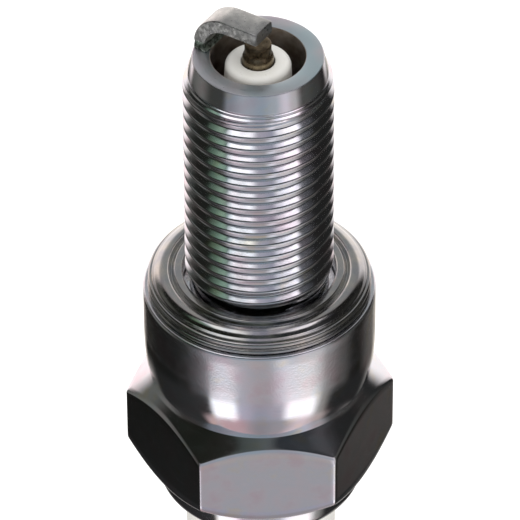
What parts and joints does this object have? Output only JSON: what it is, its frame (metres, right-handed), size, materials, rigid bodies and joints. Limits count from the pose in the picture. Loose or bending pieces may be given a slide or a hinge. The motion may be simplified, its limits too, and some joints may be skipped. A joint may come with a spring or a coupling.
{
  "type": "spark plug",
  "caption": "Gasket-seat spark plug with a long fine-threaded steel shell, hexagon, ribbed ceramic insulator, screwed terminal nut and a bent ground electrode.",
  "frame": {"origin": "on the plug's axis in the seat plane, the shell's flat face under the gasket", "axes": "+Z along the plug's axis towards the firing end, +X to the right of the ground electrode's weld as seen from -Y"},
  "size_m": [0.0182, 0.0164, 0.0724],
  "materials": {
    "shell_plating": "bright zinc plating with a faint iridescent passivation",
    "gasket_steel": "zinc-plated folded sheet steel, satin",
    "insulator_ceramic": "white alumina, matte at the nose and glazed on the ribbed head",
    "centre_alloy": "heat-darkened nickel alloy, turned",
    "copper": "drawn copper",
    "ground_alloy": "nickel alloy strap, matte, with sheared edges",
    "glass_seal": "opaque conductive glass frit",
    "resistor_compound": "dark carbon-glass compound, granular",
    "terminal_steel": "plated steel, satin",
    "terminal_plating": "nickel plating, bright, fine turning marks",
    "packing_steel": "plain steel",
    "talc": "pressed talc powder"
  },
  "bodies": {
    "plug": {"shell": "shell_plating", "insulator": "insulator_ceramic", "centre_electrode": "centre_alloy", "centre_electrode_core": "copper", "ground_electrode": "ground_alloy", "lower_glass_seal": "glass_seal", "resistor": "resistor_compound", "upper_glass_seal": "glass_seal", "terminal_stud": "terminal_steel", "seat_washer": "packing_steel", "inner_packing_ring": "packing_steel", "talc_ring": "talc", "outer_packing_ring": "packing_steel"},
    "gasket": {"gasket": "gasket_steel"},
    "terminal_nut": {"terminal_nut": "terminal_plating"}
  },
  "joints": [
    {"name": "gasket_spin", "type": "hinge", "parent": "plug", "child": "gasket", "pos_m": [0, 0, 0.00075], "axis": [0, 0, 1], "continuous": true},
    {"name": "terminal_nut_slide", "type": "slide", "parent": "plug", "child": "terminal_nut", "axis": [0, 0, -1], "range_m": [0, 0.009]}
  ]
}
